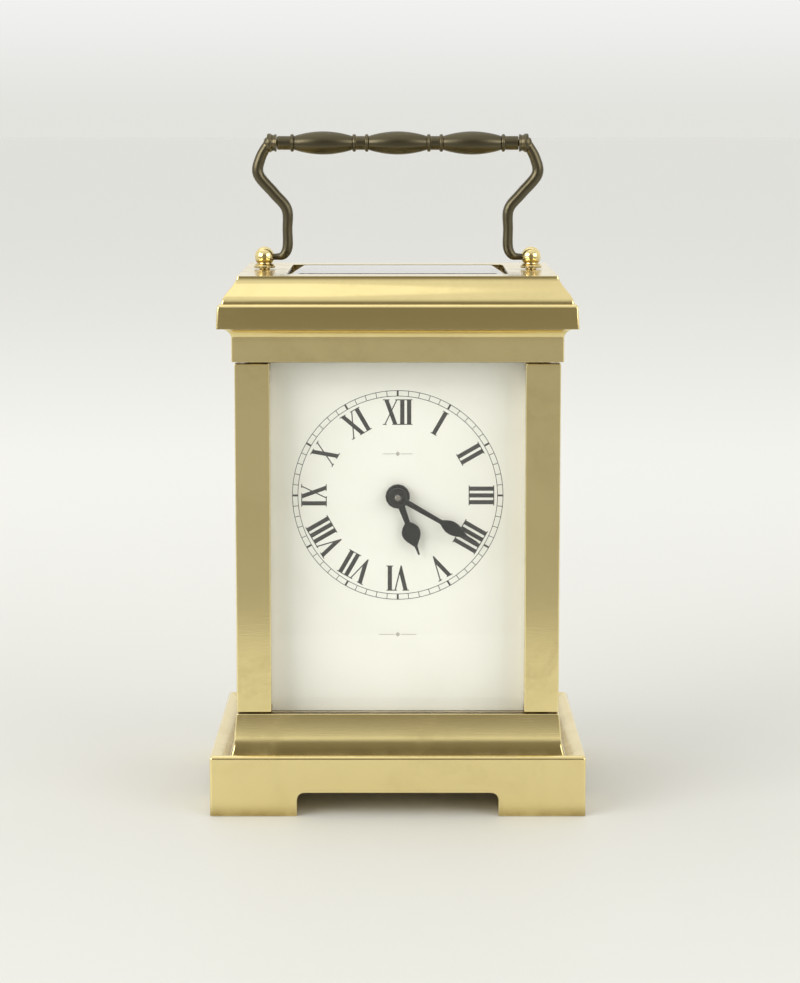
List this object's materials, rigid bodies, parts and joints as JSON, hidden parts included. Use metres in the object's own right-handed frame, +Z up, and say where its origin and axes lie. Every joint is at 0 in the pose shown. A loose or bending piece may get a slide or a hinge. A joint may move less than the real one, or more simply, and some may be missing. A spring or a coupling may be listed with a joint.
{
  "type": "carriage clock",
  "caption": "Glazed brass carriage clock with a folding bail handle, white rectangular dial, spade hands, hinged rear door and a spring-driven lever movement.",
  "frame": {"origin": "middle of the base's footprint, on the surface it stands on", "axes": "+Z up, +X to the right as seen from the dial, -Y out of the dial"},
  "size_m": [0.082, 0.07, 0.1483],
  "materials": {
    "polished_brass": "polished and lacquered, faintly rubbed",
    "gilt_brass": "fine-grained gilding on the movement",
    "bronzed_brass": "dark bronzed handle, rubbed bright on its high points",
    "steel": "ground and polished steel",
    "blued_steel": "heat-blued steel",
    "black_steel": "blackened steel hands",
    "enamel": "white fired enamel with black numerals",
    "glass": "clear bevelled pane"
  },
  "bodies": {
    "case": {"base_plinth": "polished_brass", "base_plate": "polished_brass", "pillar_front_left": "polished_brass", "pillar_front_right": "polished_brass", "pillar_rear_left": "polished_brass", "pillar_rear_right": "polished_brass", "top_cornice": "polished_brass", "top_glass": "glass", "front_glass": "glass", "left_glass": "glass", "right_glass": "glass", "door_pin_upper": "steel", "door_pin_lower": "steel", "handle_post_left": "polished_brass", "handle_post_right": "polished_brass", "dial_plate": "enamel", "front_plate": "gilt_brass", "back_plate": "gilt_brass", "movement_pillar_lower_left": "gilt_brass", "movement_pillar_lower_right": "gilt_brass", "movement_pillar_upper_left": "gilt_brass", "movement_pillar_upper_right": "gilt_brass", "click_screw": "blued_steel", "click_spring": "steel", "platform_plate": "gilt_brass", "train_cock": "gilt_brass", "balance_cock": "gilt_brass", "hairspring": "blued_steel"},
    "rear_door": {"door_frame": "polished_brass", "door_glass": "glass", "door_knob": "polished_brass"},
    "handle": {"handle_grip": "bronzed_brass", "handle_arm_left": "bronzed_brass", "handle_arm_right": "bronzed_brass"},
    "minute_group": {"set_arbor": "steel", "cannon_pinion": "steel", "minute_hand": "black_steel", "hand_collet": "polished_brass"},
    "minute_gear": {"minute_wheel": "gilt_brass"},
    "hour_group": {"hour_wheel": "gilt_brass", "hour_hand": "black_steel"},
    "going_barrel": {"mainspring_barrel": "gilt_brass", "barrel_cap": "gilt_brass", "mainspring": "steel"},
    "winding_arbor": {"barrel_arbor": "steel", "ratchet_wheel": "steel"},
    "winding_click": {"click": "steel"},
    "intermediate": {"intermediate_wheel": "gilt_brass", "intermediate_arbor": "steel"},
    "centre": {"centre_wheel": "gilt_brass", "centre_arbor": "steel"},
    "third": {"third_wheel": "gilt_brass", "third_arbor": "steel"},
    "contrate": {"contrate_wheel": "gilt_brass", "contrate_arbor": "steel"},
    "escape": {"escape_wheel": "steel"},
    "lever": {"pallet_lever": "steel"},
    "balance": {"balance_wheel": "polished_brass", "balance_staff": "steel"},
    "regulator_index": {"regulator": "steel"}
  },
  "joints": [
    {"name": "handle_fold", "type": "hinge", "parent": "case", "child": "handle", "pos_m": [0, 0, 0.1203], "axis": [1, 0, 0], "range_deg": [-86, 86]},
    {"name": "rear_door_hinge", "type": "hinge", "parent": "case", "child": "rear_door", "pos_m": [0.02601, 0.028, 0.0603], "axis": [0, 0, -1], "range_deg": [0, 95]},
    {"name": "hand_setting", "type": "hinge", "parent": "case", "child": "minute_group", "pos_m": [0, 0, 0.069], "axis": [0, 1, 0], "continuous": true},
    {"name": "minute_gear_turn", "type": "hinge", "parent": "case", "child": "minute_gear", "pos_m": [0.0036, 0, 0.06276], "axis": [0, 1, 0], "continuous": true},
    {"name": "hour_hand_turn", "type": "hinge", "parent": "case", "child": "hour_group", "pos_m": [0, 0, 0.069], "axis": [0, 1, 0], "continuous": true},
    {"name": "contrate_turn", "type": "hinge", "parent": "case", "child": "contrate", "pos_m": [-0.00799, 0, 0.08021], "axis": [0, 1, 0], "continuous": true},
    {"name": "third_turn", "type": "hinge", "parent": "case", "child": "third", "pos_m": [-0.01209, 0, 0.07087], "axis": [0, 1, 0], "continuous": true},
    {"name": "centre_turn", "type": "hinge", "parent": "case", "child": "centre", "pos_m": [0, 0, 0.069], "axis": [0, 1, 0], "continuous": true},
    {"name": "intermediate_turn", "type": "hinge", "parent": "case", "child": "intermediate", "pos_m": [0.01018, 0, 0.05782], "axis": [0, 1, 0], "continuous": true},
    {"name": "barrel_turn", "type": "hinge", "parent": "case", "child": "going_barrel", "pos_m": [0.00401, 0, 0.04159], "axis": [0, 1, 0], "continuous": true},
    {"name": "escape_turn", "type": "hinge", "parent": "case", "child": "escape", "pos_m": [-0.00799, 0.00117, 0.095], "axis": [0, 0, -1], "continuous": true},
    {"name": "winding_turn", "type": "hinge", "parent": "case", "child": "winding_arbor", "pos_m": [0.00401, 0, 0.04159], "axis": [0, 1, 0], "continuous": true},
    {"name": "click_lift", "type": "hinge", "parent": "case", "child": "winding_click", "pos_m": [-0.00429, 0, 0.046], "axis": [0, -1, 0], "range_deg": [0, 12], "deforming": ["click_spring"]},
    {"name": "balance_swing", "type": "hinge", "parent": "case", "child": "balance", "pos_m": [0.00451, 0.00117, 0.097], "axis": [0, 0, 1], "range_deg": [-135, 135], "deforming": ["hairspring"]},
    {"name": "lever_rock", "type": "hinge", "parent": "case", "child": "lever", "pos_m": [-0.00319, 0.00117, 0.0946], "axis": [0, 0, 1], "range_deg": [-8, 8]},
    {"name": "regulator_index_turn", "type": "hinge", "parent": "case", "child": "regulator_index", "pos_m": [0.00451, 0.00117, 0.1017], "axis": [0, 0, 1], "range_deg": [-15, 15]}
  ],
  "couplings": [
    {"joint": "minute_gear_turn", "follows": "hand_setting", "ratio": -0.33333},
    {"joint": "hour_hand_turn", "follows": "hand_setting", "ratio": 0.083333},
    {"joint": "third_turn", "follows": "contrate_turn", "ratio": -0.13333},
    {"joint": "centre_turn", "follows": "contrate_turn", "ratio": 0.016667},
    {"joint": "intermediate_turn", "follows": "contrate_turn", "ratio": -0.0033333},
    {"joint": "barrel_turn", "follows": "contrate_turn", "ratio": 0.00055556},
    {"joint": "escape_turn", "follows": "contrate_turn", "ratio": 10},
    {"joint": "lever_rock", "follows": "balance_swing", "ratio": -0.0592}
  ]
}
